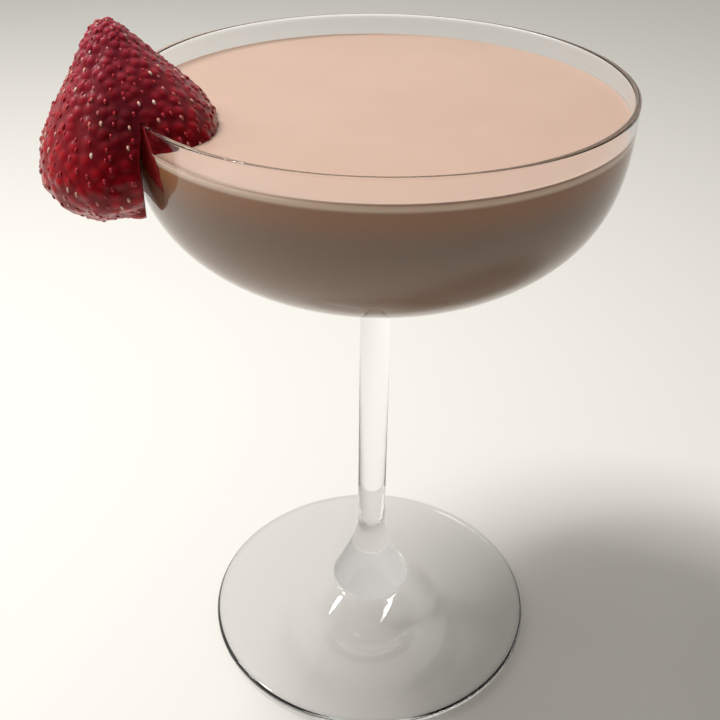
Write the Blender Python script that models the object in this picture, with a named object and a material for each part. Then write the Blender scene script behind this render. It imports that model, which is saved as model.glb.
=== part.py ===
"""Strawberry smoothie in a stemmed coupe glass, garnished with a strawberry slit onto the rim.

Three solids make the object: the turned glass, the drink that fills its bowl, and the strawberry
that sits astride the rim with the inner half of its slit dipping into the drink. The origin is the
centre of the foot's flat underside, +Z is up and every length is in metres.
"""

from math import cos, pi, radians, sin, sqrt

import bpy
import numpy as np
from mathutils import Matrix, Vector

MM = 0.001
GAP = 0.3 * MM
TURN_STEPS = 48

# Bowl of the glass
RIM_RADIUS = 50.0 * MM
GLASS_HEIGHT = 146.4 * MM
BOWL_DEPTH = 42.0 * MM
BOWL_FULLNESS = 3.2
RIM_WALL = 1.1 * MM
FLOOR_WALL = 2.8 * MM

# Stem and foot of the glass
STEM_RADIUS = 3.5 * MM
STEM_FILLET = 3.0 * MM
FLARE_TOP = 29.0 * MM
FLARE_BASE = 12.0 * MM
FLARE_RADIUS = 9.8 * MM
FLARE_CURVE = 1.4
FOOT_RADIUS = 42.0 * MM
FOOT_EDGE = 2.3 * MM
FOOT_EDGE_ROUND = 1.8 * MM
FOOT_CENTRE = 10.8 * MM
FOOT_CURVE = 1.45

# Drink
DRINK_LEVEL = 141.6 * MM

# Strawberry, from its tip at the top to the hulled end at the bottom
BERRY_BEARING = radians(196.0)
BERRY_TIP_OUT = 1.4 * MM
BERRY_TIP_SIDE = 1.3 * MM
BERRY_TIP_HEIGHT = 161.1 * MM
BERRY_LENGTH = 36.1 * MM
BERRY_HALF_WIDTH = 17.6 * MM
BERRY_TAPER = 0.674
BERRY_SHOULDER = 2.74
BERRY_TILT_IN = radians(7.2)
BERRY_TILT_SIDE = radians(3.3)
BERRY_UNEVEN = 0.012
BERRY_BLUNT = 0.35
BERRY_BLUNT_SPREAD = 0.6
# Each bulge: angle from the tip, its spread, and the growth towards the glass and away from it
BERRY_BULGES = (
    (0.45, 0.32, -0.07, 0.06),
    (0.95, 0.36, 0.03, -0.01),
    (1.50, 0.42, 0.05, 0.02),
    (2.15, 0.45, -0.12, 0.03),
)
HULL_HOLLOW = 2.5 * MM
HULL_WIDTH = 0.34
BERRY_RINGS = 25
BERRY_SIDES = 34

# Slit that grips the wall of the glass
SLIT_HALF_SPAN = 26.0 * MM
SLIT_BOTTOM = 115.0 * MM
SLIT_FLARE = 2.8 * MM
SLIT_FLARE_START = 13.0 * MM
SLIT_FLARE_END = 21.0 * MM
SLIT_GRIP = 8.0 * MM
SLIT_INNER_GAP = 0.45 * MM
SLIT_STEPS_ALONG = 16
SLIT_STEPS_UP = 10

# Seeds on the skin
SEED_COUNT = 96
SEED_LENGTH = 1.6 * MM
SEED_WIDTH = 1.1 * MM
SEED_THICKNESS = 0.9 * MM
SEED_SIDES = 6
SEED_RINGS = 3
SEED_CLEARANCE = 1.6 * MM

BOWL_BASE = GLASS_HEIGHT - BOWL_DEPTH


def clear_scene():
    """Remove whatever the open file holds."""
    for item in list(bpy.data.objects):
        bpy.data.objects.remove(item, do_unlink=True)


def make_material(name, colour, roughness, transmission=0.0, ior=1.45):
    """Principled material from a linear colour."""
    material = bpy.data.materials.new(name)
    material.use_nodes = True
    shader = material.node_tree.nodes["Principled BSDF"]
    shader.inputs["Base Color"].default_value = (*colour, 1.0)
    shader.inputs["Metallic"].default_value = 0.0
    shader.inputs["Roughness"].default_value = roughness
    shader.inputs["Transmission Weight"].default_value = transmission
    shader.inputs["IOR"].default_value = ior
    material.diffuse_color = (*colour, 1.0)
    return material


def add_object(name, vertices, faces, material=None):
    """New mesh object in the scene, shaded smooth."""
    mesh = bpy.data.meshes.new(name)
    mesh.from_pydata([tuple(map(float, v)) for v in vertices], [], faces)
    mesh.shade_smooth()
    if material:
        mesh.materials.append(material)
    item = bpy.data.objects.new(name, mesh)
    bpy.context.scene.collection.objects.link(item)
    return item


def cut_with(item, cutter):
    """Live Boolean difference, with the cutter kept as a guide that isn't part of the model."""
    modifier = item.modifiers.new("cut", "BOOLEAN")
    modifier.operation = "DIFFERENCE"
    modifier.object = cutter
    cutter.hide_render = True
    cutter.display_type = "WIRE"


def ring_faces(start, rings, sides):
    """Quads between rings of vertices that follow each other, the first vertex being start."""
    faces = []
    for row in range(start, start + (rings - 1) * sides, sides):
        for side in range(sides):
            after = (side + 1) % sides
            faces.append((row + side, row + sides + side, row + sides + after, row + after))
    return faces


def closed_faces(rings, sides):
    """Faces of a round body: a pole at vertex 0 and one at vertex 1, and the rings after them."""
    last = 2 + (rings - 1) * sides
    faces = ring_faces(2, rings, sides)
    for side in range(sides):
        after = (side + 1) % sides
        faces.append((0, 2 + side, 2 + after))
        faces.append((1, last + after, last + side))
    return faces


# Glass

def bowl_points(inset, top, steps):
    """Radius and height along the bowl's side, moved in from the outer face by inset of the wall.

    The outer face follows (r / R)^2 + (1 - t)^p = 1, with t the height above the bowl's lowest
    point as a share of its depth. The wall thickens from the rim to the floor of the bowl.
    inset is (share of the wall, extra distance), and steps points run from the axis up to top.
    """
    share, extra = inset
    points = []
    for step in range(4 * steps + 1):
        t = (step / (4 * steps)) ** 2
        radius = RIM_RADIUS * sqrt(1.0 - (1.0 - t) ** BOWL_FULLNESS)
        height = BOWL_BASE + BOWL_DEPTH * t
        slope_out = 2.0 * radius / RIM_RADIUS**2
        slope_down = BOWL_FULLNESS * (1.0 - t) ** (BOWL_FULLNESS - 1.0) / BOWL_DEPTH
        wall = RIM_WALL + (FLOOR_WALL - RIM_WALL) * (1.0 - t) ** 3
        move = (share * wall + extra) / sqrt(slope_out**2 + slope_down**2)
        points.append((radius - move * slope_out, height + move * slope_down))
    radii, heights = np.array(points).T
    share_up = np.linspace(0.0, 1.0, steps + 1) ** 1.7
    levels = heights[0] + (top - heights[0]) * share_up
    return list(zip(np.interp(levels, heights, radii), levels))


def inner_radius(height, extra=0.0):
    """Radius of the bowl's inner face at a height, moved in by extra."""
    radii, heights = np.array(bowl_points((1.0, extra), GLASS_HEIGHT, 24)).T
    return np.interp(height, heights, radii)


def curve_round(start, corner, end, steps):
    """Points that round off a corner between start and end, without the end points."""
    shares = [step / (steps + 1) for step in range(1, steps + 1)]
    return [
        tuple((1 - s) ** 2 * a + 2 * s * (1 - s) * b + s**2 * c for a, b, c in zip(start, corner, end))
        for s in shares
    ]


def half_round(centre_r, centre_z, reach_r, reach_z, start, end, steps):
    """Points of an ellipse's arc from the start angle to the end angle."""
    angles = [start + (end - start) * step / steps for step in range(steps + 1)]
    return [(centre_r + reach_r * cos(a), centre_z + reach_z * sin(a)) for a in angles]


def glass_profile():
    """Outline of the glass from the floor of the bowl, over the rim and down to the foot."""
    rim_half = RIM_WALL / 2
    rim_centre = GLASS_HEIGHT - rim_half
    inside = bowl_points((1.0, 0.0), rim_centre, 10)[:-1]
    rim = half_round(RIM_RADIUS - rim_half, rim_centre, rim_half, rim_half, pi, 0.0, 4)
    outside = bowl_points((0.0, 0.0), rim_centre, 12)[::-1]
    outside = [point for point in outside[1:] if point[0] > STEM_RADIUS + STEM_FILLET]
    join = outside[-1]
    stem_top = (STEM_RADIUS, BOWL_BASE - STEM_FILLET)
    fillet = curve_round(join, (STEM_RADIUS, BOWL_BASE), stem_top, 3) + [stem_top]

    flare = []
    for step in range(7):
        share = step / 6
        radius = STEM_RADIUS + (FLARE_RADIUS - STEM_RADIUS) * share**FLARE_CURVE
        flare.append((radius, FLARE_TOP + (FLARE_BASE - FLARE_TOP) * share))

    foot_start = (FLARE_RADIUS + 1.7 * MM, FOOT_CENTRE)
    corner = (FLARE_RADIUS + 0.5 * MM, FOOT_CENTRE + 0.4 * MM)
    neck = curve_round(flare[-1], corner, foot_start, 2)
    foot_reach = FOOT_RADIUS - FOOT_EDGE_ROUND
    foot = []
    for step in range(5):
        share = step / 5
        radius = foot_start[0] + (foot_reach - foot_start[0]) * share
        foot.append((radius, FOOT_EDGE + (FOOT_CENTRE - FOOT_EDGE) * (1 - share) ** FOOT_CURVE))
    edge = half_round(foot_reach, FOOT_EDGE / 2, FOOT_EDGE_ROUND, FOOT_EDGE / 2, pi / 2, -pi / 2, 6)
    return inside + rim + outside + fillet + flare + neck + foot + edge + [(0.0, 0.0)]


def add_turned(name, profile, material):
    """Solid turned about the vertical axis from an outline that starts and ends on the axis."""
    vertices = [(radius, 0.0, height) for radius, height in profile]
    item = add_object(name, vertices, [], material)
    mesh = item.data
    mesh.edges.add(len(vertices) - 1)
    for index, edge in enumerate(mesh.edges):
        edge.vertices = (index, index + 1)
    turn = item.modifiers.new("turn", "SCREW")
    turn.axis = "Z"
    turn.steps = TURN_STEPS
    turn.render_steps = TURN_STEPS
    turn.use_merge_vertices = True
    turn.merge_threshold = 0.01 * MM
    turn.use_smooth_shade = True
    return item


# Strawberry

def berry_surface(psi, phi, grow=0.0):
    """Points of the strawberry's skin in the world, for arrays of two angles.

    psi runs from 0 at the tip to pi at the hulled end and phi runs round the berry, from 0 on the
    side away from the glass. The radius is sin(psi) (1 - c cos(psi)), which makes a rounded cone, the
    tip is blunted, and the section squares off towards the shoulders as a superellipse. Bulges towards and away
    from the glass and slow waves make it uneven, and a hollow is pressed into the hulled end. grow
    moves the skin outwards.
    """
    widest = np.linspace(0.0, pi, 400)
    widest = np.max(np.sin(widest) * (1 - BERRY_TAPER * np.cos(widest)))
    radius = np.sin(psi) * (1 - BERRY_TAPER * np.cos(psi)) / widest
    power = 2 + (BERRY_SHOULDER - 2) * np.sin(psi / 2) ** 2
    radius = radius * (np.abs(np.cos(phi)) ** power + np.abs(np.sin(phi)) ** power) ** (-1 / power)
    waves = np.sin(3 * phi + 0.7) * np.sin(2 * psi) + 0.7 * np.sin(5 * phi + 2.1) * np.sin(psi)
    bulge = BERRY_BLUNT * np.exp(-((psi / BERRY_BLUNT_SPREAD) ** 2))
    for place, spread, inwards, outwards in BERRY_BULGES:
        facing = np.where(np.cos(phi) < 0, inwards, outwards) * np.cos(phi) ** 2
        bulge = bulge + facing * np.exp(-(((psi - place) / spread) ** 2))
    radius = radius * (1 + BERRY_UNEVEN * waves + bulge) * (BERRY_HALF_WIDTH + grow)
    across = radius * np.cos(phi)
    side = radius * np.sin(phi)
    hollow = HULL_HOLLOW * np.exp(-(((pi - psi) / HULL_WIDTH) ** 2))
    down = (BERRY_LENGTH + 2 * grow) * (1 - np.cos(psi)) / 2 - hollow

    out = BERRY_TIP_OUT + across * cos(BERRY_TILT_IN) - down * sin(BERRY_TILT_IN)
    drop = across * sin(BERRY_TILT_IN) + down * cos(BERRY_TILT_IN)
    along = BERRY_TIP_SIDE + side * cos(BERRY_TILT_SIDE) + drop * sin(BERRY_TILT_SIDE)
    height = BERRY_TIP_HEIGHT + grow - drop * cos(BERRY_TILT_SIDE) + side * sin(BERRY_TILT_SIDE)
    return to_world(out, along, height)


def to_world(out, along, height):
    """World points from distances out past the rim and along it at the berry's bearing."""
    ahead = np.array([cos(BERRY_BEARING), sin(BERRY_BEARING), 0.0])
    beside = np.array([-sin(BERRY_BEARING), cos(BERRY_BEARING), 0.0])
    up = np.array([0.0, 0.0, 1.0])
    out, along, height = np.broadcast_arrays(out, along, height)
    return (RIM_RADIUS + out)[..., None] * ahead + along[..., None] * beside + height[..., None] * up


def closed_skin(grow):
    """Vertices and faces of the whole skin, with one vertex at each pole."""
    psi = np.linspace(0.0, pi, BERRY_RINGS + 1)[1:-1]
    phi = np.linspace(0.0, 2 * pi, BERRY_SIDES, endpoint=False)
    rings = berry_surface(*np.meshgrid(psi, phi, indexing="ij"), grow)
    poles = berry_surface(np.array([0.0, pi]), np.array([0.0, 0.0]), grow)
    return np.vstack([poles, rings.reshape(-1, 3)]), closed_faces(len(psi), BERRY_SIDES)


def slit_cutter():
    """Slab that clears the wall of the glass, following the rim outside and the bowl inside.

    Towards its two ends the outer side flares away from the wall, less over the grip, which is the
    top stretch of the slit. Each ring of vertices runs up the outer side and down the inner side at
    one place along the rim.
    """
    places = np.linspace(-SLIT_HALF_SPAN, SLIT_HALF_SPAN, SLIT_STEPS_ALONG + 1)
    share_down = np.linspace(1.0, 0.0, SLIT_STEPS_UP + 1) ** 2
    heights = GLASS_HEIGHT + GAP - (GLASS_HEIGHT + GAP - SLIT_BOTTOM) * share_down
    along, height = np.meshgrid(places, heights, indexing="ij")
    grip = np.clip((height - GLASS_HEIGHT + SLIT_GRIP) / SLIT_GRIP, 0.0, 1.0) ** 2
    rise = np.clip((np.abs(along) - SLIT_FLARE_START) / (SLIT_FLARE_END - SLIT_FLARE_START), 0.0, 1.0)
    flare = SLIT_FLARE * rise**2 * (3 - 2 * rise) * (1 - grip)
    outer = GAP + np.sqrt(RIM_RADIUS**2 - along**2) - RIM_RADIUS + flare
    reach = inner_radius(np.minimum(height, GLASS_HEIGHT - RIM_WALL), SLIT_INNER_GAP)
    inner = np.sqrt(reach**2 - along**2) - RIM_RADIUS
    up_outer = to_world(outer, along, height)
    down_inner = to_world(inner, along, height)[:, ::-1]
    vertices = np.concatenate([up_outer, down_inner], axis=1)
    rings, sides = vertices.shape[:2]
    faces = ring_faces(0, rings, sides)
    faces.append(tuple(range(sides)))
    faces.append(tuple(range(rings * sides - 1, (rings - 1) * sides - 1, -1)))
    return add_object("slit_cutter", vertices.reshape(-1, 3), faces)


def seed_places():
    """Angles of the seeds: turned by the golden angle, with an equal area of skin to each."""
    psi = np.linspace(0.0, pi, 400)
    skin = berry_surface(psi, np.zeros_like(psi))
    axis = berry_surface(np.array([0.0]), np.array([0.0]))
    girth = np.sin(psi) * (1 - BERRY_TAPER * np.cos(psi))
    step = np.linalg.norm(np.diff(skin, axis=0, prepend=axis), axis=1)
    area = np.cumsum(girth * step)
    golden = pi * (3 - sqrt(5))
    order = np.arange(SEED_COUNT) + 0.5
    return np.interp(order / SEED_COUNT, area / area[-1], psi), (order * golden) % (2 * pi)


def seed_frame(psi, phi):
    """Matrix that stands a seed on the skin, its length running from tip to hull."""
    small = 0.01
    here, down, round_ = berry_surface(np.array([psi, psi + small, psi]), np.array([phi, phi, phi + small]))
    length = Vector(down - here).normalized()
    normal = length.cross(Vector(round_ - here)).normalized()
    width = normal.cross(length)
    turn = Matrix((length, width, normal)).transposed().to_4x4()
    return Matrix.Translation(Vector(here)) @ turn


def seed_shows(place):
    """True where a seed is above the drink, clear of the slit and off the hulled end."""
    radius = sqrt(place.x**2 + place.y**2)
    by_wall = RIM_RADIUS - 2 * SEED_CLEARANCE < radius < RIM_RADIUS + 1.5 * SEED_CLEARANCE
    if by_wall and place.z < GLASS_HEIGHT + 2 * SEED_CLEARANCE:
        return False
    return radius > RIM_RADIUS or place.z > DRINK_LEVEL + SEED_CLEARANCE


def seed_shape():
    """Vertices and faces of a small pointed seed, lying along X."""
    angle = pi * np.arange(1, SEED_RINGS + 1) / (SEED_RINGS + 1)
    turn = -2 * pi * np.arange(SEED_SIDES) / SEED_SIDES
    angle, turn = np.meshgrid(angle, turn, indexing="ij")
    half = np.array([SEED_LENGTH, SEED_WIDTH, SEED_THICKNESS]) / 2
    ball = np.stack([-np.cos(angle), np.sin(angle) * np.cos(turn), np.sin(angle) * np.sin(turn)], axis=-1)
    poles = np.array([[-1.0, 0.0, 0.0], [1.0, 0.0, 0.0]])
    return np.vstack([poles, ball.reshape(-1, 3)]) * half, closed_faces(SEED_RINGS, SEED_SIDES)


def join_all(item, collection):
    """Union of an object with every object of a collection, applied, and the collection removed."""
    modifier = item.modifiers.new("join", "BOOLEAN")
    modifier.operation = "UNION"
    modifier.operand_type = "COLLECTION"
    modifier.collection = collection
    graph = bpy.context.evaluated_depsgraph_get()
    joined = bpy.data.meshes.new_from_object(item.evaluated_get(graph))
    item.modifiers.clear()
    item.data = joined
    for piece in list(collection.objects):
        bpy.data.objects.remove(piece, do_unlink=True)
    bpy.data.collections.remove(collection)


def add_strawberry(material):
    """Strawberry with its seeds fused on and its slit cut."""
    berry = add_object("strawberry", *closed_skin(0.0), material)
    seeds = bpy.data.collections.new("seeds")
    bpy.context.scene.collection.children.link(seeds)
    shape = seed_shape()
    for psi, phi in zip(*seed_places()):
        frame = seed_frame(psi, phi)
        if not seed_shows(frame.translation) or psi > pi - 1.5 * HULL_WIDTH:
            continue
        seed = add_object("seed", *shape, material)
        seed.matrix_world = frame
        bpy.context.scene.collection.objects.unlink(seed)
        seeds.objects.link(seed)
    join_all(berry, seeds)
    cut_with(berry, slit_cutter())
    return berry


# Drink

def add_drink(material):
    """Drink up to its level, a gap inside the bowl, and cut round the strawberry."""
    side = bowl_points((1.0, GAP), DRINK_LEVEL, 11)
    profile = [(0.0, DRINK_LEVEL)] + side[::-1]
    drink = add_turned("smoothie", profile, material)
    cut_with(drink, add_object("berry_cutter", *closed_skin(1.6 * GAP)))
    return drink


def main():
    clear_scene()
    glass = make_material("clear glass", (0.95, 0.97, 0.96), 0.03, transmission=1.0, ior=1.52)
    cream = make_material("strawberry and milk", (0.74, 0.52, 0.42), 0.35)
    flesh = make_material("strawberry skin", (0.40, 0.02, 0.03), 0.35)
    add_turned("coupe_glass", glass_profile(), glass)
    add_drink(cream)
    add_strawberry(flesh)


main()
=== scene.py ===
from math import cos, pi, radians, sin, sqrt

import bpy
import numpy as np
from mathutils import Matrix, Vector


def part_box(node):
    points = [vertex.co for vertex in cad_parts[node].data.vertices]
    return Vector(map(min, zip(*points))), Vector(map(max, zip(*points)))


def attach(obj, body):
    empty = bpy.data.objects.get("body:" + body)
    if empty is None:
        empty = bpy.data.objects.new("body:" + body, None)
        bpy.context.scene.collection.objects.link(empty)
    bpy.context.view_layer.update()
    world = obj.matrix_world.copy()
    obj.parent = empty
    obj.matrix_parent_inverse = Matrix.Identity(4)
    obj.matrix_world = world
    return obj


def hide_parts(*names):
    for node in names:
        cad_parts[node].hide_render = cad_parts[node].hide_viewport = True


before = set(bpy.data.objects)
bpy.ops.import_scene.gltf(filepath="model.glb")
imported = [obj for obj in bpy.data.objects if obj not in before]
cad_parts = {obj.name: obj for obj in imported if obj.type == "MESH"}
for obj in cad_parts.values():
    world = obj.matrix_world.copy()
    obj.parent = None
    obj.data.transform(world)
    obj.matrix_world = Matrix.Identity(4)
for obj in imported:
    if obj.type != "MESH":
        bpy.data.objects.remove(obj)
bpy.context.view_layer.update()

MM = 0.001

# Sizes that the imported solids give
GLASS_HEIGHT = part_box("coupe_glass")[1].z
RIM_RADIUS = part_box("coupe_glass")[1].x
DRINK_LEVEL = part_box("smoothie")[1].z
BERRY_TIP_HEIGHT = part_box("strawberry")[1].z

# Bowl, stem and foot, as the glass was drawn
BOWL_DEPTH = 42.0 * MM
BOWL_FULLNESS = 3.2
BOWL_BASE = GLASS_HEIGHT - BOWL_DEPTH
BOWL_STEPS = 4000
RIM_WALL = 1.1 * MM
FLOOR_WALL = 2.8 * MM
STEM_RADIUS = 3.5 * MM
STEM_FILLET = 3.0 * MM
FLARE_TOP = 29.0 * MM
FLARE_BASE = 12.0 * MM
FLARE_RADIUS = 9.8 * MM
FLARE_CURVE = 1.4
NECK_REACH = 1.7 * MM
NECK_BEND_OUT = 0.5 * MM
NECK_BEND_UP = 0.4 * MM
FOOT_RADIUS = 42.0 * MM
FOOT_EDGE = 2.3 * MM
FOOT_EDGE_ROUND = 3.0 * MM
FOOT_CENTRE = 10.8 * MM
FOOT_CURVE = 1.45
GLASS_SIDES = 288

# Drink, and how it creeps up the wall and the berry
INTO_WALL = 0.15 * MM
LEVEL_SLACK = 0.01 * MM
MENISCUS_RISE = 0.2 * MM
MENISCUS_MOST = 0.22 * MM
MENISCUS_FADE = 0.65 * MM
DRINK_SIDES = 288
DRINK_CROWDING = 2.2
# The berry's half width where it meets the level
BERRY_AT_LEVEL = 17.0 * MM

# Layers of the drink: the depth below its level where each starts, and where it is full
WARM_DEPTH = 9.0 * MM
WARM_FULL = 1.0 * MM
FROTH_DEPTH = 1.7 * MM
FROTH_FULL = 0.55 * FROTH_DEPTH
# Under TOP_DEPTH the froth's side is painted paler than its top: a painted highlight band
TOP_DEPTH = 0.4 * MM
TOP_FULL = 0.05 * MM
# Width of the slow clouds on top
CLOUD_WIDTH = 18.2 * MM

# Wedge where the berry presses on the wall: its two edges along the rim, and how they lean
CONTACT_NEAR = 19.3 * MM
CONTACT_NEAR_LEAN = 0.2
CONTACT_FAR = 7.5 * MM
CONTACT_FAR_LEAN = 2.0
# How far the drink gives way there, how softly that sets in, and how near the axis it ends
CONTACT_GIVE = 2.0 * MM
CONTACT_SOFT = 0.05
CONTACT_FADE = 1.0 * MM
CONTACT_LEAST_RADIUS = 5.0 * MM

# Strawberry: angles are psi, from the tip down to the hulled end, and phi round the berry
BERRY_BEARING = radians(196.0)
BERRY_TIP_OUT = 1.4 * MM
BERRY_TIP_SIDE = 1.3 * MM
BERRY_LENGTH = 36.1 * MM
BERRY_HALF_WIDTH = 17.6 * MM
BERRY_TAPER = 0.674
BERRY_SHOULDER = 2.74
BERRY_TILT_IN = radians(7.2)
BERRY_TILT_SIDE = radians(3.3)
BERRY_BLUNT = 0.35
BERRY_BLUNT_SPREAD = 0.6
BERRY_UNEVEN = 0.012
# Each wave: its turns round the berry, where it starts, its turns down the berry, and its share
BERRY_WAVES = (
    (3, 0.7, 2, 1.0),
    (5, 2.1, 1, 0.7),
)
# Each bulge: angle from the tip, its spread, and the growth towards the glass and away from it
BERRY_BULGES = (
    (0.45, 0.32, -0.07, 0.06),
    (0.95, 0.36, 0.03, -0.01),
    (1.50, 0.42, 0.05, 0.02),
    (2.15, 0.45, -0.12, 0.03),
)
HULL_HOLLOW = 2.5 * MM
HULL_WIDTH = 0.34
BERRY_RINGS = 250
BERRY_SIDES = 320
AHEAD = np.array([cos(BERRY_BEARING), sin(BERRY_BEARING), 0.0])
BESIDE = np.array([-sin(BERRY_BEARING), cos(BERRY_BEARING), 0.0])
UP = np.array([0.0, 0.0, 1.0])

# Relief of the skin. The heights and the reach of its domes are shares of their spacing
LUMP = 0.6 * MM
LUMP_TURNS = 4.0
SWELL = 0.35 * MM
SWELL_START = 0.5
RAGGED = 2.0 * MM
RAGGED_TURNS = 9.0
RAGGED_BIAS = 0.45
HULLED_START = 2.0
HULLED_FADE = 0.4
DOME_HEIGHT_TIP = 0.22
DOME_HEIGHT_SIDE = 0.085
DOME_SIDE_PSI = 2.0
DOME_REACH = 0.62
DOME_UNEVEN = 0.35
DOME_BLOCK = 60

# Places of the seeds and domes, as dots on a spiral
SEED_SPACING_TIP = 1.3 * MM
SEED_SPACING_SIDE = 2.6 * MM
SEED_SPACING_PSI = 1.5
SEED_SPACING_CURVE = 0.8
DOT_AREA = 0.87
DOT_STRAY_PSI = 0.022
DOT_STRAY_PHI = 0.06
POLE_MARGIN = 0.02

# One seed, as a length, a width and a thickness, and how seeds differ
SEED_LENGTH = 1.0 * MM
SEED_WIDTH = 0.6 * MM
SEED_THICKNESS = 0.4 * MM
SEED_SIDES = 8
SEED_RINGS = 5
SEED_BLUNT = 0.25
SEED_POINT = 1.15
SEED_PROUD = 0.03 * MM
SEED_SMALLEST = 0.62
SEED_SIZES = (0.8, 1.15)
SEED_PALE_RARITY = 2.2
SEED_PALE_END = 2.75
SEED_PALE_FADE = 0.4

# Colouring of the skin and the flesh
RIPE_START = 0.7
RIPE_FADE = 1.0
# Painted shade: where the darker spot on the front of the berry lies, how far it reaches and how much
# it darkens
SHADE_SPOT_PSI = 1.45
SHADE_SPOT_PHI = 1.5
SHADE_SPOT_REACH = 8.6 * MM
SHADE_SPOT_SHARE = 0.78
# How much the valleys between domes are darkened, as painted shade
VALLEY_SHADE_SHARE = 0.55
SKIN_PATCH = 4.35 * MM
SKIN_GRAIN = 0.714 * MM
FLESH_GRAIN = 2.38 * MM

# Slit
SLIT_HALF_SPAN = 26.0 * MM
SLIT_BOTTOM = 115.0 * MM
SLIT_FLARE = 2.8 * MM
SLIT_FLARE_START = 13.0 * MM
SLIT_FLARE_END = 21.0 * MM
SLIT_GRIP = 8.0 * MM
SLIT_OUTER_GAP = 0.12 * MM
SLIT_INTO_WALL = 0.1 * MM
SLIT_COLUMNS = 81
SLIT_ROWS = 61
SLIT_CROWDING = 1.5

# Camera, measured from the ellipses of the rim, the drink and the foot
EYE = Vector((0.0, -189.3, 205.1)) * MM
PITCH_DOWN = 0.5845
YAW = 0.0180
ROLL = 0.0110
FOCAL_PIXELS = 969.9
PICTURE_PIXELS = 720
SENSOR = 36.0
NEAREST_SEEN = 10.0 * MM

# Each lamp: name, place in metres, width and height, watts, colour, and whether it is mirrored
LAMPS = (
    ("key_above_left", (-0.265, 0.070, 0.630), (0.18, 0.18), 3.1, "#FFFDFB", False),
    ("glint_above_left", (-0.510, 0.110, 0.900), (0.08, 0.08), 1.2, "#FFFFFF", True),
    ("window_left", (-0.650, 0.090, 0.650), (0.22, 0.10), 0.6, "#FFFFFF", True),
)
LAMPS_AIM = (0.0, 0.0, 0.1)

# Floor, a little below the foot, and the surround, palest behind on the left
FLOOR_HALF = 4.0
FLOOR_DROP = 0.4 * MM
SURROUND_BRIGHT = (-0.45, 0.74, 0.50)
SURROUND_DARKEST_AT = -0.4
SURROUND_DARKEST = "#403D3A"
SURROUND_PALEST = "#FFFDF6"
SURROUND_STRENGTH = 0.62


# Meshes from arrays

def linear(code):
    """Linear colour of an sRGB hex value, with alpha 1."""
    parts = np.array([int(code[i:i + 2], 16) for i in (1, 3, 5)]) / 255
    return (*np.where(parts <= 0.04045, parts / 12.92, ((parts + 0.055) / 1.055) ** 2.4), 1.0)


def grid_faces(rows, columns, start=0):
    """Quads of a grid of vertices, rows by columns, closed round the columns."""
    i, j = np.meshgrid(np.arange(rows - 1), np.arange(columns), indexing="ij")
    after = (j + 1) % columns
    quads = [i * columns + j, (i + 1) * columns + j, (i + 1) * columns + after, i * columns + after]
    return (start + np.stack(quads, axis=-1)).reshape(-1, 4)


def fan_faces(pole, first, sides, opening):
    """Triangles from a pole to the ring that starts at vertex first.

    The fan is opening where the surface starts at the pole, and otherwise closes it.
    """
    j = np.arange(sides)
    after = (j + 1) % sides
    ends = [first + j, first + after] if opening else [first + after, first + j]
    return np.stack([np.full(sides, pole), *ends], axis=-1)


def closed_faces(rings, sides):
    """Faces of a closed surface whose first two vertices are its poles and the rest its rings."""
    return [
        fan_faces(0, 2, sides, True),
        grid_faces(rings, sides, 2),
        fan_faces(1, 2 + (rings - 1) * sides, sides, False),
    ]


def turned(profile, sides):
    """Surface of revolution of a profile that starts and ends on the axis.

    Each point (r, z) of the profile becomes the ring (r cos a, r sin a, z), and the two ends one
    vertex each. Going along the profile, the outside lies on the right, so that faces point outwards.
    """
    angle = 2 * pi * np.arange(sides) / sides
    radius, height = profile[1:-1].T
    rings = np.stack([
        radius[:, None] * np.cos(angle),
        radius[:, None] * np.sin(angle),
        np.broadcast_to(height[:, None], (len(height), sides)),
    ], axis=-1)
    poles = np.array([[0.0, 0.0, profile[0, 1]], [0.0, 0.0, profile[-1, 1]]])
    return np.vstack([poles, rings.reshape(-1, 3)]), closed_faces(len(radius), sides)


def add_piece(name, vertices, faces, material, smooth=True):
    """Mesh object with its place in its vertices. Each array in faces holds one kind of face."""
    mesh = bpy.data.meshes.new(name)
    lists = [row for block in faces for row in block.tolist()]
    mesh.from_pydata(vertices.tolist(), [], lists)
    mesh.materials.append(material)
    if smooth:
        mesh.shade_smooth()
    piece = bpy.data.objects.new(name, mesh)
    bpy.context.scene.collection.objects.link(piece)
    return piece


def add_attribute(piece, name, values):
    """Number for each vertex of a piece, which its material reads by name."""
    attribute = piece.data.attributes.new(name, "FLOAT", "POINT")
    attribute.data.foreach_set("value", values.astype(np.float32))


# Materials, which read object coordinates in metres, so that a noise's scale is 1 over its grain

def add_node(tree, kind, inputs=(), **settings):
    """Node with its settings, and its inputs given as values or as the sockets that feed them."""
    node = tree.nodes.new(kind)
    for name, value in settings.items():
        setattr(node, name, value)
    for name, value in dict(inputs).items():
        if isinstance(value, bpy.types.NodeSocket):
            tree.links.new(value, node.inputs[name])
        else:
            node.inputs[name].default_value = value
    return node


def new_material(name):
    """Empty node material and its tree."""
    material = bpy.data.materials.new(name)
    material.use_nodes = True
    material.node_tree.nodes.clear()
    return material, material.node_tree


def finish_material(tree, shader):
    """Connect a shader to the material's output."""
    add_node(tree, "ShaderNodeOutputMaterial", {"Surface": shader})


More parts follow.
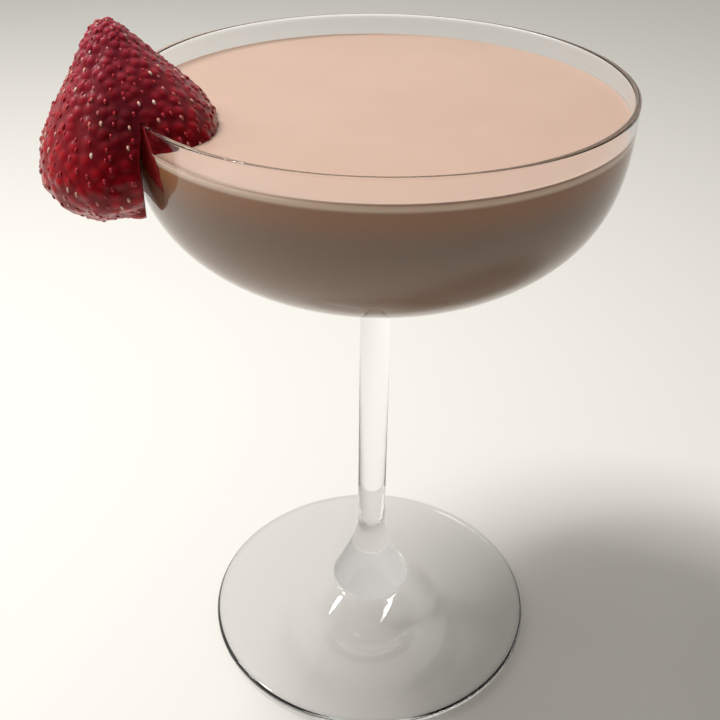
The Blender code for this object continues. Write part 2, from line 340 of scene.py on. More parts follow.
def blown_glass():
    """Soda-lime glass, blown and fire polished: clear and colourless, with sharp reflections.

    Lamps and light bounced off matt things pass straight through it, less where it is seen edge
    on, so that what it holds and what it stands on are lit once and its edges cast a faint shadow.
    """
    material, tree = new_material("soda_lime_glass_fire_polished")
    glass = add_node(tree, "ShaderNodeBsdfPrincipled", {
        "Base Color": linear("#FEFEFE"),
        "Roughness": 0.0,
        "IOR": 1.52,
        "Transmission Weight": 1.0,
    })
    edge = add_node(tree, "ShaderNodeLayerWeight", {"Blend": 0.5}).outputs["Facing"]
    edge = add_node(tree, "ShaderNodeMath", {0: edge, 1: 2.5}, operation="POWER")
    faint = add_node(tree, "ShaderNodeMix", {
        "Factor": edge.outputs[0], "A": linear("#F4F4F4"), "B": linear("#7C7C76"),
    }, data_type="RGBA")
    clear = add_node(tree, "ShaderNodeBsdfTransparent", {"Color": faint.outputs["Result"]})
    ray = add_node(tree, "ShaderNodeLightPath").outputs
    straight = add_node(tree, "ShaderNodeMath", {
        0: ray["Is Shadow Ray"], 1: ray["Is Diffuse Ray"],
    }, operation="MAXIMUM")
    mix = add_node(tree, "ShaderNodeMixShader", {
        "Fac": straight.outputs[0], 1: glass.outputs[0], 2: clear.outputs[0],
    })
    finish_material(tree, mix.outputs[0])
    return material


def blended_drink():
    """Strawberry and milk, blended: a pale pinkish froth on top of a browner, denser body.

    The froth's side, seen through the glass just under the level, is painted paler than its top as a
    painted highlight band, and its top has slow clouds. The body is darker partly as its own colour
    and partly as painted shade for the side seen through the glass, and it is lighter and warmer just
    under the froth.
    """
    material, tree = new_material("blended_strawberry_milk_with_froth")
    place = add_node(tree, "ShaderNodeTexCoord").outputs["Object"]
    height = add_node(tree, "ShaderNodeSeparateXYZ", {"Vector": place}).outputs["Z"]
    cloud = add_node(tree, "ShaderNodeTexNoise", {
        "Vector": place, "Scale": 1 / CLOUD_WIDTH, "Detail": 3.0,
    })
    top = add_node(tree, "ShaderNodeMix", {
        "Factor": cloud.outputs["Fac"], "A": linear("#C0A18F"), "B": linear("#CBAC9B"),
    }, data_type="RGBA")
    above = add_node(tree, "ShaderNodeMapRange", {
        "Value": height, "From Min": DRINK_LEVEL - TOP_DEPTH, "From Max": DRINK_LEVEL - TOP_FULL,
    }, interpolation_type="SMOOTHSTEP")
    # Painted highlight: the froth's side under the level is painted paler than its top
    painted_band_and_top = add_node(tree, "ShaderNodeMix", {
        "Factor": above.outputs["Result"], "A": linear("#FAE2CC"), "B": top.outputs["Result"],
    }, data_type="RGBA")
    warm = add_node(tree, "ShaderNodeMapRange", {
        "Value": height, "From Min": DRINK_LEVEL - WARM_DEPTH, "From Max": DRINK_LEVEL - WARM_FULL,
    }, interpolation_type="SMOOTHSTEP")
    # The body is darker partly as its own colour and partly as painted shade for the side seen
    # through the glass
    body = add_node(tree, "ShaderNodeMix", {
        "Factor": warm.outputs["Result"], "A": linear("#92745E"), "B": linear("#B98259"),
    }, data_type="RGBA")
    froth = add_node(tree, "ShaderNodeMapRange", {
        "Value": height, "From Min": DRINK_LEVEL - FROTH_DEPTH, "From Max": DRINK_LEVEL - FROTH_FULL,
    }, interpolation_type="SMOOTHSTEP")
    colour = add_node(tree, "ShaderNodeMix", {
        "Factor": froth.outputs["Result"], "A": body.outputs["Result"], "B": painted_band_and_top.outputs["Result"],
    }, data_type="RGBA")
    shader = add_node(tree, "ShaderNodeBsdfPrincipled", {
        "Base Color": colour.outputs["Result"],
        "Roughness": 0.3,
        "IOR": 1.36,
        "Subsurface Weight": 0.3,
        "Subsurface Radius": (1.0, 0.7, 0.5),
        "Subsurface Scale": 1.5 * MM,
    })
    finish_material(tree, shader.outputs[0])
    return material


def berry_skin():
    """Ripe strawberry skin: translucent deep red with a moist gloss, dusky and pinker at the tip.

    Painted shade darkens the valleys between its domes and a spot on the front, which faces away from
    the lamps, and light that enters the lobes comes out red. Its own grain of about 0.1 mm is too
    fine to show, so it is drawn as a grain of 0.7 mm, which breaks the gloss up softly.
    """
    material, tree = new_material("strawberry_skin_moist")
    place = add_node(tree, "ShaderNodeTexCoord").outputs["Object"]
    valley = add_node(tree, "ShaderNodeAttribute", attribute_name="valley").outputs["Fac"]
    ripeness = add_node(tree, "ShaderNodeAttribute", attribute_name="ripeness").outputs["Fac"]
    painted_shade_near = add_node(tree, "ShaderNodeAttribute", attribute_name="dark").outputs["Fac"]
    patch = add_node(tree, "ShaderNodeTexNoise", {
        "Vector": place, "Scale": 1 / SKIN_PATCH, "Detail": 4.0,
    })
    tip = add_node(tree, "ShaderNodeMix", {
        "Factor": patch.outputs["Fac"], "A": linear("#8E1A2E"), "B": linear("#B83C50"),
    }, data_type="RGBA")
    side = add_node(tree, "ShaderNodeMix", {
        "Factor": patch.outputs["Fac"], "A": linear("#9C0A18"), "B": linear("#CC1A28"),
    }, data_type="RGBA")
    skin = add_node(tree, "ShaderNodeMix", {
        "Factor": ripeness, "A": tip.outputs["Result"], "B": side.outputs["Result"],
    }, data_type="RGBA")
    # Painted shade in the valleys between the domes
    deep = add_node(tree, "ShaderNodeMath", {0: valley, 1: VALLEY_SHADE_SHARE}, operation="MULTIPLY")
    domed = add_node(tree, "ShaderNodeMix", {
        "Factor": deep.outputs[0], "A": skin.outputs["Result"], "B": linear("#5C0614"),
    }, data_type="RGBA")
    # Painted shade: a darker spot on the front, which faces away from the lamps
    painted_shade_spot = add_node(tree, "ShaderNodeMath", {0: painted_shade_near, 1: SHADE_SPOT_SHARE}, operation="MULTIPLY")
    dusky = add_node(tree, "ShaderNodeMix", {
        "Factor": painted_shade_spot.outputs[0], "A": domed.outputs["Result"], "B": linear("#420810"),
    }, data_type="RGBA")
    grain = add_node(tree, "ShaderNodeTexNoise", {
        "Vector": place, "Scale": 1 / SKIN_GRAIN, "Detail": 3.0,
    })
    bump = add_node(tree, "ShaderNodeBump", {
        "Height": grain.outputs["Fac"], "Strength": 0.22, "Distance": 0.12 * MM,
    })
    shader = add_node(tree, "ShaderNodeBsdfPrincipled", {
        "Base Color": dusky.outputs["Result"],
        "Roughness": 0.26,
        "IOR": 1.38,
        "Specular IOR Level": 0.35,
        "Coat Weight": 0.12,
        "Coat Roughness": 0.12,
        "Subsurface Weight": 0.6,
        "Subsurface Radius": (1.0, 0.12, 0.1),
        "Subsurface Scale": 2.5 * MM,
        "Normal": bump.outputs["Normal"],
    })
    finish_material(tree, shader.outputs[0])
    return material


def berry_flesh():
    """Cut strawberry flesh: wet and translucent, a mottled light red.

    Its fibres of about 0.3 mm are too fine to show, so the mottling is drawn 2.4 mm wide.
    """
    material, tree = new_material("strawberry_flesh_cut")
    place = add_node(tree, "ShaderNodeTexCoord").outputs["Object"]
    grain = add_node(tree, "ShaderNodeTexNoise", {
        "Vector": place, "Scale": 1 / FLESH_GRAIN, "Detail": 3.0,
    })
    colour = add_node(tree, "ShaderNodeValToRGB", {"Fac": grain.outputs["Fac"]})
    colour.color_ramp.elements[0].color = linear("#A8262C")
    colour.color_ramp.elements[1].color = linear("#CC4A4A")
    shader = add_node(tree, "ShaderNodeBsdfPrincipled", {
        "Base Color": colour.outputs["Color"],
        "Roughness": 0.25,
        "IOR": 1.38,
        "Subsurface Weight": 0.8,
        "Subsurface Radius": (1.0, 0.25, 0.2),
        "Subsurface Scale": 4.0 * MM,
    })
    finish_material(tree, shader.outputs[0])
    return material


def seed_husk():
    """Strawberry seed: smooth dry husk that glints, from reddish to pale straw, each its own tone."""
    material, tree = new_material("strawberry_seed_husk")
    tone = add_node(tree, "ShaderNodeAttribute", attribute_name="tone").outputs["Fac"]
    colour = add_node(tree, "ShaderNodeValToRGB", {"Fac": tone})
    ramp = colour.color_ramp.elements
    ramp[0].color = linear("#A81E2A")
    ramp[1].color = linear("#F6E0CE")
    for position, code in ((0.35, "#B8404A"), (0.6, "#D08478"), (0.8, "#E8B8A4")):
        ramp.new(position).color = linear(code)
    shader = add_node(tree, "ShaderNodeBsdfPrincipled", {
        "Base Color": colour.outputs["Color"], "Roughness": 0.2, "IOR": 1.5,
    })
    finish_material(tree, shader.outputs[0])
    return material


def studio_floor():
    """Plain pale matt board, even and without a gleam."""
    material, tree = new_material("pale_matt_board")
    shader = add_node(tree, "ShaderNodeBsdfPrincipled", {
        "Base Color": linear("#F2F0EB"), "Roughness": 0.7, "IOR": 1.4,
    })
    finish_material(tree, shader.outputs[0])
    return material


# Glass

def bowl_side(share, extra, top, points):
    """Radius and height of evenly spaced points up the bowl's side, as far as the height top.

    The outer face follows (r / R)^2 + (1 - t)^p = 1, with t the height above the bowl's lowest
    point as a share of its depth. The wall thickens from rim to floor with (1 - t)^3, and the
    side moves in along its normal by share of the wall plus extra.
    """
    t = np.linspace(0.0, 1.0, BOWL_STEPS) ** 2
    radius = RIM_RADIUS * np.sqrt(1 - (1 - t) ** BOWL_FULLNESS)
    height = BOWL_BASE + BOWL_DEPTH * t
    slope_out = 2 * radius / RIM_RADIUS**2
    slope_down = BOWL_FULLNESS * (1 - t) ** (BOWL_FULLNESS - 1) / BOWL_DEPTH
    wall = RIM_WALL + (FLOOR_WALL - RIM_WALL) * (1 - t) ** 3
    move = (share * wall + extra) / np.hypot(slope_out, slope_down)
    radius, height = radius - move * slope_out, height + move * slope_down
    shown = height < top
    radius, height = radius[shown], height[shown]
    run = np.concatenate([[0.0], np.cumsum(np.hypot(np.diff(radius), np.diff(height)))])
    even = np.linspace(0.0, run[-1], points)
    return np.stack([np.interp(even, run, radius), np.interp(even, run, height)], axis=-1)


def inner_radius(height, extra=0.0):
    """Radius of the bowl's inner face at a height, moved in by extra."""
    side = bowl_side(1.0, extra, GLASS_HEIGHT, points=800)
    return np.interp(height, side[:, 1], side[:, 0])


def rounded(start, corner, end, points):
    """Curve from start to end that bends at a corner: (1-s)^2 start + 2 s (1-s) corner + s^2 end."""
    s = np.linspace(0.0, 1.0, points)[:, None]
    return (1 - s) ** 2 * np.array(start) + 2 * s * (1 - s) * np.array(corner) + s**2 * np.array(end)


def arc(centre, reach, start, end, points):
    """Arc of an upright ellipse: centre + reach (cos a, sin a)."""
    angle = np.linspace(start, end, points)[:, None]
    return np.array(centre) + np.array(reach) * np.hstack([np.cos(angle), np.sin(angle)])


def glass_profile():
    """Outline of the glass from the floor of the bowl, over the rim and down to the foot.

    With s from 0 to 1, the flare widens as s^FLARE_CURVE while it goes down evenly, and the foot
    goes down as (1 - s)^FOOT_CURVE while it widens evenly, which dishes it. Its underside is flat.
    """
    half = RIM_WALL / 2
    rim_centre = GLASS_HEIGHT - half
    inside = bowl_side(1.0, 0.0, rim_centre, points=90)
    rim = arc((RIM_RADIUS - half, rim_centre), (half, half), pi, 0.0, points=17)
    outside = bowl_side(0.0, 0.0, rim_centre, points=100)[::-1]
    outside = outside[outside[:, 0] > STEM_RADIUS + STEM_FILLET]
    stem_top = (STEM_RADIUS, BOWL_BASE - STEM_FILLET)
    fillet = rounded(outside[-1], (STEM_RADIUS, BOWL_BASE), stem_top, points=14)
    s = np.linspace(0.0, 1.0, 40)
    flare = np.stack([
        STEM_RADIUS + (FLARE_RADIUS - STEM_RADIUS) * s**FLARE_CURVE,
        FLARE_TOP + (FLARE_BASE - FLARE_TOP) * s,
    ], axis=-1)
    neck_corner = (FLARE_RADIUS + NECK_BEND_OUT, FOOT_CENTRE + NECK_BEND_UP)
    foot_start = (FLARE_RADIUS + NECK_REACH, FOOT_CENTRE)
    neck = rounded(flare[-1], neck_corner, foot_start, points=12)
    foot_reach = FOOT_RADIUS - FOOT_EDGE_ROUND
    foot = np.stack([
        foot_start[0] + (foot_reach - foot_start[0]) * s,
        FOOT_EDGE + (FOOT_CENTRE - FOOT_EDGE) * (1 - s) ** FOOT_CURVE,
    ], axis=-1)
    half = FOOT_EDGE / 2
    edge = arc((foot_reach, half), (FOOT_EDGE_ROUND, half), pi / 2, -pi / 2, points=21)
    under = np.stack([np.linspace(0.9 * foot_reach, 0.0, 8), np.zeros(8)], axis=-1)
    runs = [inside, rim[1:], outside[1:], fillet[1:], flare, neck[1:], foot[1:], edge[1:], under]
    return np.vstack(runs)


def make_glass(material):
    """Glass turned from its outline."""
    piece = add_piece("glass_coupe", *turned(glass_profile(), GLASS_SIDES), material)
    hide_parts("coupe_glass")
    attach(piece, "root")


# Strawberry

def to_world(out, along, height):
    """World points from distances out past the rim and along it at the berry's bearing."""
    out, along, height = np.broadcast_arrays(out, along, height)
    return (RIM_RADIUS + out)[..., None] * AHEAD + along[..., None] * BESIDE + height[..., None] * UP


def berry_radius(psi, phi):
    """Distance of the skin from the berry's axis, as a share of its half width.

    sin(psi) (1 - c cos(psi)) makes a rounded cone with a blunted tip, the section squares off
    towards the shoulders as a superellipse, and bulges towards and away from the glass and slow
    waves make it uneven.
    """
    widest = np.linspace(0.0, pi, 400)
    widest = np.max(np.sin(widest) * (1 - BERRY_TAPER * np.cos(widest)))
    radius = np.sin(psi) * (1 - BERRY_TAPER * np.cos(psi)) / widest
    power = 2 + (BERRY_SHOULDER - 2) * np.sin(psi / 2) ** 2
    radius = radius * (np.abs(np.cos(phi)) ** power + np.abs(np.sin(phi)) ** power) ** (-1 / power)
    waves = sum(
        share * np.sin(turns * phi + start) * np.sin(down * psi)
        for turns, start, down, share in BERRY_WAVES
    )
    bulge = BERRY_BLUNT * np.exp(-((psi / BERRY_BLUNT_SPREAD) ** 2))
    for place, spread, inwards, outwards in BERRY_BULGES:
        facing = np.where(np.cos(phi) < 0, inwards, outwards) * np.cos(phi) ** 2
        bulge = bulge + facing * np.exp(-(((psi - place) / spread) ** 2))
    return radius * (1 + BERRY_UNEVEN * waves + bulge)


def berry_surface(psi, phi):
    """Points of the plain skin: psi from 0 at the tip to pi at the hulled end, phi round the berry.

    The distance from the axis is berry_radius, the depth below the tip L (1 - cos(psi)) / 2 with a
    hollow pressed into the hulled end, and the whole leans in and to the side.
    """
    radius = berry_radius(psi, phi) * BERRY_HALF_WIDTH
    across, side = radius * np.cos(phi), radius * np.sin(phi)
    hollow = HULL_HOLLOW * np.exp(-(((pi - psi) / HULL_WIDTH) ** 2))
    down = BERRY_LENGTH * (1 - np.cos(psi)) / 2 - hollow
    out = BERRY_TIP_OUT + across * cos(BERRY_TILT_IN) - down * sin(BERRY_TILT_IN)
    drop = across * sin(BERRY_TILT_IN) + down * cos(BERRY_TILT_IN)
    along = BERRY_TIP_SIDE + side * cos(BERRY_TILT_SIDE) + drop * sin(BERRY_TILT_SIDE)
    height = BERRY_TIP_HEIGHT - drop * cos(BERRY_TILT_SIDE) + side * sin(BERRY_TILT_SIDE)
    return to_world(out, along, height)


def berry_share(points):
    """How far points lie inside the berry: 1 on its skin, less inside and more outside.

    It undoes the lean of berry_surface and divides the distance from the axis by the skin's.
    """
    out = points @ AHEAD - RIM_RADIUS - BERRY_TIP_OUT
    along = points @ BESIDE - BERRY_TIP_SIDE
    drop = BERRY_TIP_HEIGHT - points[..., 2]
    side = along * cos(BERRY_TILT_SIDE) - drop * sin(BERRY_TILT_SIDE)
    drop = drop * cos(BERRY_TILT_SIDE) + along * sin(BERRY_TILT_SIDE)
    across = out * cos(BERRY_TILT_IN) + drop * sin(BERRY_TILT_IN)
    down = drop * cos(BERRY_TILT_IN) - out * sin(BERRY_TILT_IN)
    psi = np.arccos(np.clip(1 - 2 * down / BERRY_LENGTH, -0.999, 0.999))
    phi = np.arctan2(side, across)
    return np.hypot(across, side) / (berry_radius(psi, phi) * BERRY_HALF_WIDTH)


def skin_frame(psi, phi):
    """Points of the plain skin, short steps down it, and outward directions.

    The outward direction is the cross product of a step down and a step round, at length 1.
    """
    small = 0.004
    here = berry_surface(psi, phi)
    down = berry_surface(psi + small, phi) - here
    across = berry_surface(psi, phi + small) - here
    normal = np.cross(down, across)
    return here, down, normal / np.linalg.norm(normal, axis=-1, keepdims=True)


def mixed_sines(way, turns, random):
    """A quarter of the sum of eight sines of the direction way, with random slopes and starts."""
    slopes = random.normal(0.0, turns, (3, 8))
    starts = random.uniform(0.0, 2 * pi, 8)
    return np.sin(way @ slopes + starts).sum(axis=-1) / 4


def unevenness(psi, phi):
    """Lumps of the skin and the ragged edge of the hulled end, as depths below the plain form.

    Both are sums of sines of the direction (sin psi cos phi, sin psi sin phi, cos psi), slow ones
    all over and quicker ones that set in towards the hulled end. The whole swells by SWELL away
    from the tip, so that lumps and valleys lie about as much outside the plain form as inside.
    """
    random = np.random.default_rng(3)
    way = np.stack([np.sin(psi) * np.cos(phi), np.sin(psi) * np.sin(phi), np.cos(psi)], axis=-1)
    slow = mixed_sines(way, LUMP_TURNS, random)
    quick = mixed_sines(way, RAGGED_TURNS, random)
    hulled = np.clip((psi - HULLED_START) / HULLED_FADE, 0.0, 1.0)
    swell = SWELL * (1 - np.exp(-((psi / SWELL_START) ** 2)))
    return LUMP * (1 + slow) / 2 + RAGGED * hulled * (RAGGED_BIAS + quick) / 2 - swell


def seed_spacing(psi):
    """Distance between seeds, which sit closer together at the tip."""
    share = np.clip(psi / SEED_SPACING_PSI, 0.0, 1.0) ** SEED_SPACING_CURVE
    return SEED_SPACING_TIP + (SEED_SPACING_SIDE - SEED_SPACING_TIP) * share


def spiral_angles(start, random):
    """Angles of dots over the skin: each turned by the golden angle, seed_spacing apart.

    Whole numbers along the spiral are the domes of the skin, and the halves between are the seeds.
    Each dot takes DOT_AREA times its spacing squared, as dots packed in triangles do, and strays.
    """
    psi = np.linspace(0.0, pi, 2000)
    skin = berry_surface(psi, np.zeros_like(psi))
    step = np.linalg.norm(np.diff(skin, axis=0, prepend=skin[:1]), axis=1)
    girth = 2 * pi * BERRY_HALF_WIDTH * berry_radius(psi, np.zeros_like(psi))
    dots = np.cumsum(girth * step / (DOT_AREA * seed_spacing(psi) ** 2))
    count = int(dots[-1])
    order = np.arange(count) + start
    golden = pi * (3 - sqrt(5))
    place = np.interp(order, dots, psi) + random.normal(0.0, DOT_STRAY_PSI, count)
    turn = order * golden + random.normal(0.0, DOT_STRAY_PHI, count)
    return np.clip(place, POLE_MARGIN, pi - POLE_MARGIN), turn


def dome_sink(points, psi, domes, spacing, heights):
    """Depth below the tops of the domes, and how far down the valley between them a point is.

    With d the distance to the nearest dome's middle over the spacing there, the valley is
    (1 - cos(pi d / reach)) / 2, at most 1, and the depth is the dome's height times the valley.
    The tops of lower domes lie a little deeper, by their own entry in heights.
    """
    nearest, owner = np.full(len(points), np.inf), np.zeros(len(points), int)
    for block in range(0, len(domes), DOME_BLOCK):
        part = slice(block, block + DOME_BLOCK)
        apart = np.linalg.norm(points[:, None, :] - domes[None, part, :], axis=-1) / spacing[part]
        closest = apart.argmin(axis=1)
        distance = apart[np.arange(len(points)), closest]
        closer = distance < nearest
        nearest[closer], owner[closer] = distance[closer], closest[closer] + block
    valley = (1 - np.cos(pi * np.clip(nearest / DOME_REACH, 0.0, 1.0))) / 2
    share = np.clip(psi / DOME_SIDE_PSI, 0.0, 1.0)
    height = (DOME_HEIGHT_TIP + (DOME_HEIGHT_SIDE - DOME_HEIGHT_TIP) * share) * seed_spacing(psi)
    return height * (valley + DOME_UNEVEN * heights[owner] * (1 - valley)), valley


def slit_outer(along, height):
    """How far out past the rim the slit's outer side runs, at a place along the rim and a height.

    It is sqrt(R^2 - along^2) - R, the rim's own curve, plus a flare towards both ends that rises as
    3 s^2 - 2 s^3 and dies away towards the rim, over the grip.
    """
    rim = np.sqrt(RIM_RADIUS**2 - np.minimum(along**2, RIM_RADIUS**2)) - RIM_RADIUS
    grip = np.clip((height - GLASS_HEIGHT + SLIT_GRIP) / SLIT_GRIP, 0.0, 1.0) ** 2
    flare_run = SLIT_FLARE_END - SLIT_FLARE_START
    rise = np.clip((np.abs(along) - SLIT_FLARE_START) / flare_run, 0.0, 1.0)
    return SLIT_OUTER_GAP + rim + SLIT_FLARE * rise**2 * (3 - 2 * rise) * (1 - grip)


def slit_slab(material):
    """Slab that clears the wall of the glass outside and reaches just into it inside the bowl.

    It is a closed strip along the rim, with the outer side going up and the inner side coming down.
    """
    places = np.linspace(-SLIT_HALF_SPAN, SLIT_HALF_SPAN, SLIT_COLUMNS)
    top = GLASS_HEIGHT + SLIT_OUTER_GAP
    heights = top - (top - SLIT_BOTTOM) * np.linspace(1.0, 0.0, SLIT_ROWS) ** SLIT_CROWDING
    along, height = np.meshgrid(places, heights, indexing="ij")
    reach = inner_radius(np.minimum(height, GLASS_HEIGHT - RIM_WALL), -SLIT_INTO_WALL)
    outer = to_world(slit_outer(along, height), along, height)
    inner = to_world(np.sqrt(reach**2 - along**2) - RIM_RADIUS, along, height)
    rings = np.concatenate([outer, inner[:, ::-1]], axis=1)
    count, sides = rings.shape[:2]
    first_end = np.arange(sides)[None, :]
    last_end = np.arange(count * sides - 1, (count - 1) * sides - 1, -1)[None, :]
    faces = [grid_faces(count, sides), first_end, last_end]
    return add_piece("slit_slab", rings.reshape(-1, 3), faces, material)


def cut_slit(berry, flesh):
    """Cut the slit out of the berry, which leaves the slit's walls in the colour of the flesh."""
    slab = slit_slab(flesh)
    cut = berry.modifiers.new("slit", "BOOLEAN")
    cut.operation = "DIFFERENCE"
    cut.object = slab
    cut.material_mode = "TRANSFER"
    graph = bpy.context.evaluated_depsgraph_get()
    mesh = bpy.data.meshes.new_from_object(berry.evaluated_get(graph))
    berry.modifiers.clear()
    berry.data = mesh
    bpy.data.objects.remove(slab)


def make_berry(domes, skin, flesh):
    """Berry with its slit. The plain skin sinks by dome_sink and unevenness.

    Its material reads the valleys between domes, which it darkens as painted shade, the ripeness,
    which grows away from the tip, and the closeness to a painted shade spot on the front, exp(-(d /
    SHADE_SPOT_REACH)^2) at a distance d.
    """
    psi = np.linspace(0.0, pi, BERRY_RINGS + 1)[1:-1]
    phi = 2 * pi * np.arange(BERRY_SIDES) / BERRY_SIDES
    psi, phi = (angle.ravel() for angle in np.meshgrid(psi, phi, indexing="ij"))
    here, _, outwards = skin_frame(psi, phi)
    sink, valley = dome_sink(here, psi, *domes)
    here = here - outwards * (sink + unevenness(psi, phi))[:, None]
    poles = np.array([here[:BERRY_SIDES].mean(axis=0), here[-BERRY_SIDES:].mean(axis=0)])
    faces = closed_faces(BERRY_RINGS - 1, BERRY_SIDES)
    berry = add_piece("strawberry_berry", np.vstack([poles, here]), faces, skin)
    # Centre of the painted shade spot on the front
    painted_shade_spot = berry_surface(np.array([SHADE_SPOT_PSI]), np.array([SHADE_SPOT_PHI]))
    looks = {
        "valley": valley,
        "ripeness": np.clip((psi - RIPE_START) / RIPE_FADE, 0.0, 1.0),
        "dark": np.exp(-(np.linalg.norm(here - painted_shade_spot, axis=1) / SHADE_SPOT_REACH) ** 2),
    }
    for name, values in looks.items():
        add_attribute(berry, name, np.concatenate([np.zeros(len(poles)), values]))
    cut_slit(berry, flesh)
    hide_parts("strawberry")
    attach(berry, "root")


def clear_of_slit(at):
    """True where a point is not within a seed's breadth of the slit."""
    out, along, height = at @ AHEAD - RIM_RADIUS, at @ BESIDE, at[:, 2]
    outside = out > slit_outer(along, height) + SEED_WIDTH
    wall = inner_radius(np.minimum(height, GLASS_HEIGHT - RIM_WALL))
    inside = np.hypot(at[:, 0], at[:, 1]) < wall - SEED_WIDTH
    return outside | (inside & (height > DRINK_LEVEL)) | (height > GLASS_HEIGHT + SEED_LENGTH)


def seed_ball():
    """One seed at size 1: a ball with a blunter and a more pointed end, two poles first.

    A point is (-cos(a), (1 + b cos(a)) sin(a) cos(t), sin(a) sin(t)), along, across and outwards.
    """
    angle = pi * np.arange(1, SEED_RINGS + 1) / (SEED_RINGS + 1)
    turn = -2 * pi * np.arange(SEED_SIDES) / SEED_SIDES
    angle, turn = np.meshgrid(angle, turn, indexing="ij")
    blunt = 1 + SEED_BLUNT * np.cos(angle)
    ball = np.stack([
        -np.cos(angle), blunt * np.sin(angle) * np.cos(turn), np.sin(angle) * np.sin(turn)
    ], axis=-1)
    return np.vstack([[[-SEED_POINT, 0.0, 0.0], [1.0, 0.0, 0.0]], ball.reshape(-1, 3)])


def make_seeds(domes, husk, random):
    """Seeds in the valleys of the skin, each a squeezed seed_ball that lies along the berry.

    A point of a seed is place + x length t + y width w + z thickness n, all halved, with t down
    the berry, n outwards and w across both. Their tone is mostly dark and seldom pale, and red on
    the hulled end.
    """
    psi, phi = spiral_angles(0.5, random)
    at, down, out = skin_frame(psi, phi)
    depth = dome_sink(at, psi, *domes)[0] + unevenness(psi, phi)
    at = at - out * (depth - SEED_PROUD)[:, None]
    shows = clear_of_slit(at)
    at, down, out, psi = at[shows], down[shows], out[shows], psi[shows]
    tangent = down / np.linalg.norm(down, axis=-1, keepdims=True)
    size = np.clip(seed_spacing(psi) / SEED_SPACING_SIDE, SEED_SMALLEST, 1.0)
    size = size * random.uniform(*SEED_SIZES, len(at))
    half = np.array([SEED_LENGTH, SEED_WIDTH, SEED_THICKNESS]) / 2
    ball = seed_ball()
    local = ball[None, :, :] * half * size[:, None, None]
    axes = np.stack([tangent, np.cross(out, tangent), out], axis=1)
    vertices = (at[:, None, :] + local @ axes).reshape(-1, 3)
    starts = (np.arange(len(at)) * len(ball))[:, None, None]
    one = closed_faces(SEED_RINGS, SEED_SIDES)
    faces = [(block[None] + starts).reshape(-1, block.shape[1]) for block in one]
    seeds = add_piece("strawberry_seeds", vertices, faces, husk)
    tone = random.uniform(0.0, 1.0, len(at)) ** SEED_PALE_RARITY
    tone = tone * np.clip((SEED_PALE_END - psi) / SEED_PALE_FADE, 0.0, 1.0)
    add_attribute(seeds, "tone", np.repeat(tone, len(ball)))
    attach(seeds, "root")


def make_strawberry(skin, flesh, husk):
    """Strawberry with domed skin, a slit that grips the rim, and seeds in its valleys."""
    random = np.random.default_rng(7)
    psi, phi = spiral_angles(0.0, random)
    domes = berry_surface(psi, phi), seed_spacing(psi), random.uniform(0.0, 1.0, len(psi))
    make_berry(domes, skin, flesh)
    make_seeds(domes, husk, random)


# Drink

def make_drink(material):
    """Drink up to its level, reaching just into the wall, with an edge that creeps up the glass.

    The top is the level plus a rise that dies away with the distance d from the wall or the berry
    as exp(-d / fade). Where the berry presses on the wall, in a wedge that narrows downwards, the
    side gives way behind it.
    """
    side = bowl_side(1.0, -INTO_WALL, DRINK_LEVEL + MENISCUS_RISE, points=70)
    inwards = np.linspace(1.0, 0.0, 90)[1:-1] ** DRINK_CROWDING
    top = np.stack([side[-1, 0] * (1 - inwards), np.full(len(inwards), DRINK_LEVEL)], axis=-1)
    profile = np.vstack([[[0.0, DRINK_LEVEL]], top, side[::-1]])
    vertices, faces = turned(profile, DRINK_SIDES)
    radius = np.hypot(vertices[:, 0], vertices[:, 1])
    share = berry_share(vertices)

    on_top = vertices[:, 2] > DRINK_LEVEL - LEVEL_SLACK
    gaps = inner_radius(DRINK_LEVEL) - radius, (share - 1) * BERRY_AT_LEVEL
    rise = MENISCUS_RISE * sum(np.exp(-np.maximum(gap, 0.0) / MENISCUS_FADE) for gap in gaps)
    vertices[on_top, 2] = DRINK_LEVEL + np.minimum(rise, MENISCUS_MOST)[on_top]

    beside = vertices @ BESIDE
    down = DRINK_LEVEL - vertices[:, 2]
    from_near = np.clip((CONTACT_NEAR + CONTACT_NEAR_LEAN * down - beside) / CONTACT_FADE, 0.0, 1.0)
    from_far = np.clip((beside - CONTACT_FAR - CONTACT_FAR_LEAN * down) / CONTACT_FADE, 0.0, 1.0)
    inside = np.clip((1.0 - share) / CONTACT_SOFT, 0.0, 1.0)
    pressed = ~on_top & (share < 1.0) & (radius > CONTACT_LEAST_RADIUS)
    give = CONTACT_GIVE * inside * from_near * from_far / np.maximum(radius, CONTACT_LEAST_RADIUS)
    vertices[pressed, :2] *= (1 - give)[pressed, None]

    piece = add_piece("drink_smoothie", vertices, faces, material)
    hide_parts("smoothie")
    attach(piece, "root")


# Studio

def add_camera():
    """Camera at the photograph's viewing angle."""
    data = bpy.data.cameras.new("camera")
    data.sensor_width = SENSOR
    data.lens = FOCAL_PIXELS / PICTURE_PIXELS * SENSOR
    data.clip_start = NEAREST_SEEN
    camera = bpy.data.objects.new("camera", data)
    turn = Matrix.Rotation(YAW, 4, "Z") @ Matrix.Rotation(pi / 2 - PITCH_DOWN, 4, "X")
    camera.matrix_world = Matrix.Translation(EYE) @ turn @ Matrix.Rotation(ROLL, 4, "Z")
    bpy.context.scene.collection.objects.link(camera)
    bpy.context.scene.camera = camera


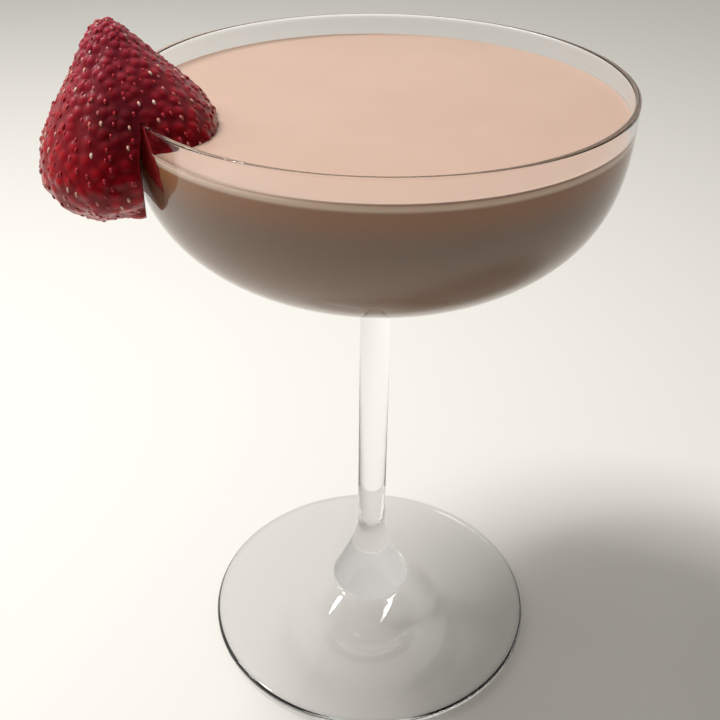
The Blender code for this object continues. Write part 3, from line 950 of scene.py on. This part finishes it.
def add_lamp(name, place, size, power, colour, mirrored):
    """Soft rectangular lamp that looks at the glass, seen in reflections or not."""
    data = bpy.data.lights.new(name, "AREA")
    data.shape = "RECTANGLE"
    data.size, data.size_y = size
    data.energy = power
    data.color = linear(colour)[:3]
    lamp = bpy.data.objects.new(name, data)
    lamp.visible_glossy = mirrored
    place = Vector(place)
    turn = (Vector(LAMPS_AIM) - place).to_track_quat("-Z", "Y").to_matrix().to_4x4()
    lamp.matrix_world = Matrix.Translation(place) @ turn
    bpy.context.scene.collection.objects.link(lamp)


def add_floor(material):
    """Square floor, which is stage and no part of the object."""
    corners = np.array([[-1, -1], [1, -1], [1, 1], [-1, 1]]) * FLOOR_HALF
    corners = np.hstack([corners, np.full((4, 1), -FLOOR_DROP)])
    floor = add_piece("studio_floor", corners, [np.array([[0, 1, 2, 3]])], material, smooth=False)


def add_surround():
    """Surround whose colour goes from dark to pale with the dot product of the direction seen and
    SURROUND_BRIGHT.
    """
    world = bpy.data.worlds.new("studio")
    world.use_nodes = True
    tree = world.node_tree
    tree.nodes.clear()
    way = add_node(tree, "ShaderNodeTexCoord").outputs["Generated"]
    towards = add_node(tree, "ShaderNodeVectorMath", {
        0: way, 1: SURROUND_BRIGHT,
    }, operation="DOT_PRODUCT")
    share = add_node(tree, "ShaderNodeMapRange", {
        "Value": towards.outputs["Value"], "From Min": SURROUND_DARKEST_AT, "From Max": 1.0,
    }, interpolation_type="SMOOTHSTEP")
    colour = add_node(tree, "ShaderNodeMix", {
        "Factor": share.outputs["Result"],
        "A": linear(SURROUND_DARKEST),
        "B": linear(SURROUND_PALEST),
    }, data_type="RGBA")
    shade = add_node(tree, "ShaderNodeBackground", {
        "Color": colour.outputs["Result"], "Strength": SURROUND_STRENGTH,
    })
    add_node(tree, "ShaderNodeOutputWorld", {"Surface": shade.outputs[0]})
    bpy.context.scene.world = world


add_camera()
add_floor(studio_floor())
for lamp in LAMPS:
    add_lamp(*lamp)
add_surround()
bpy.context.scene.view_settings.view_transform = "Standard"
make_glass(blown_glass())
make_drink(blended_drink())
make_strawberry(berry_skin(), berry_flesh(), seed_husk())
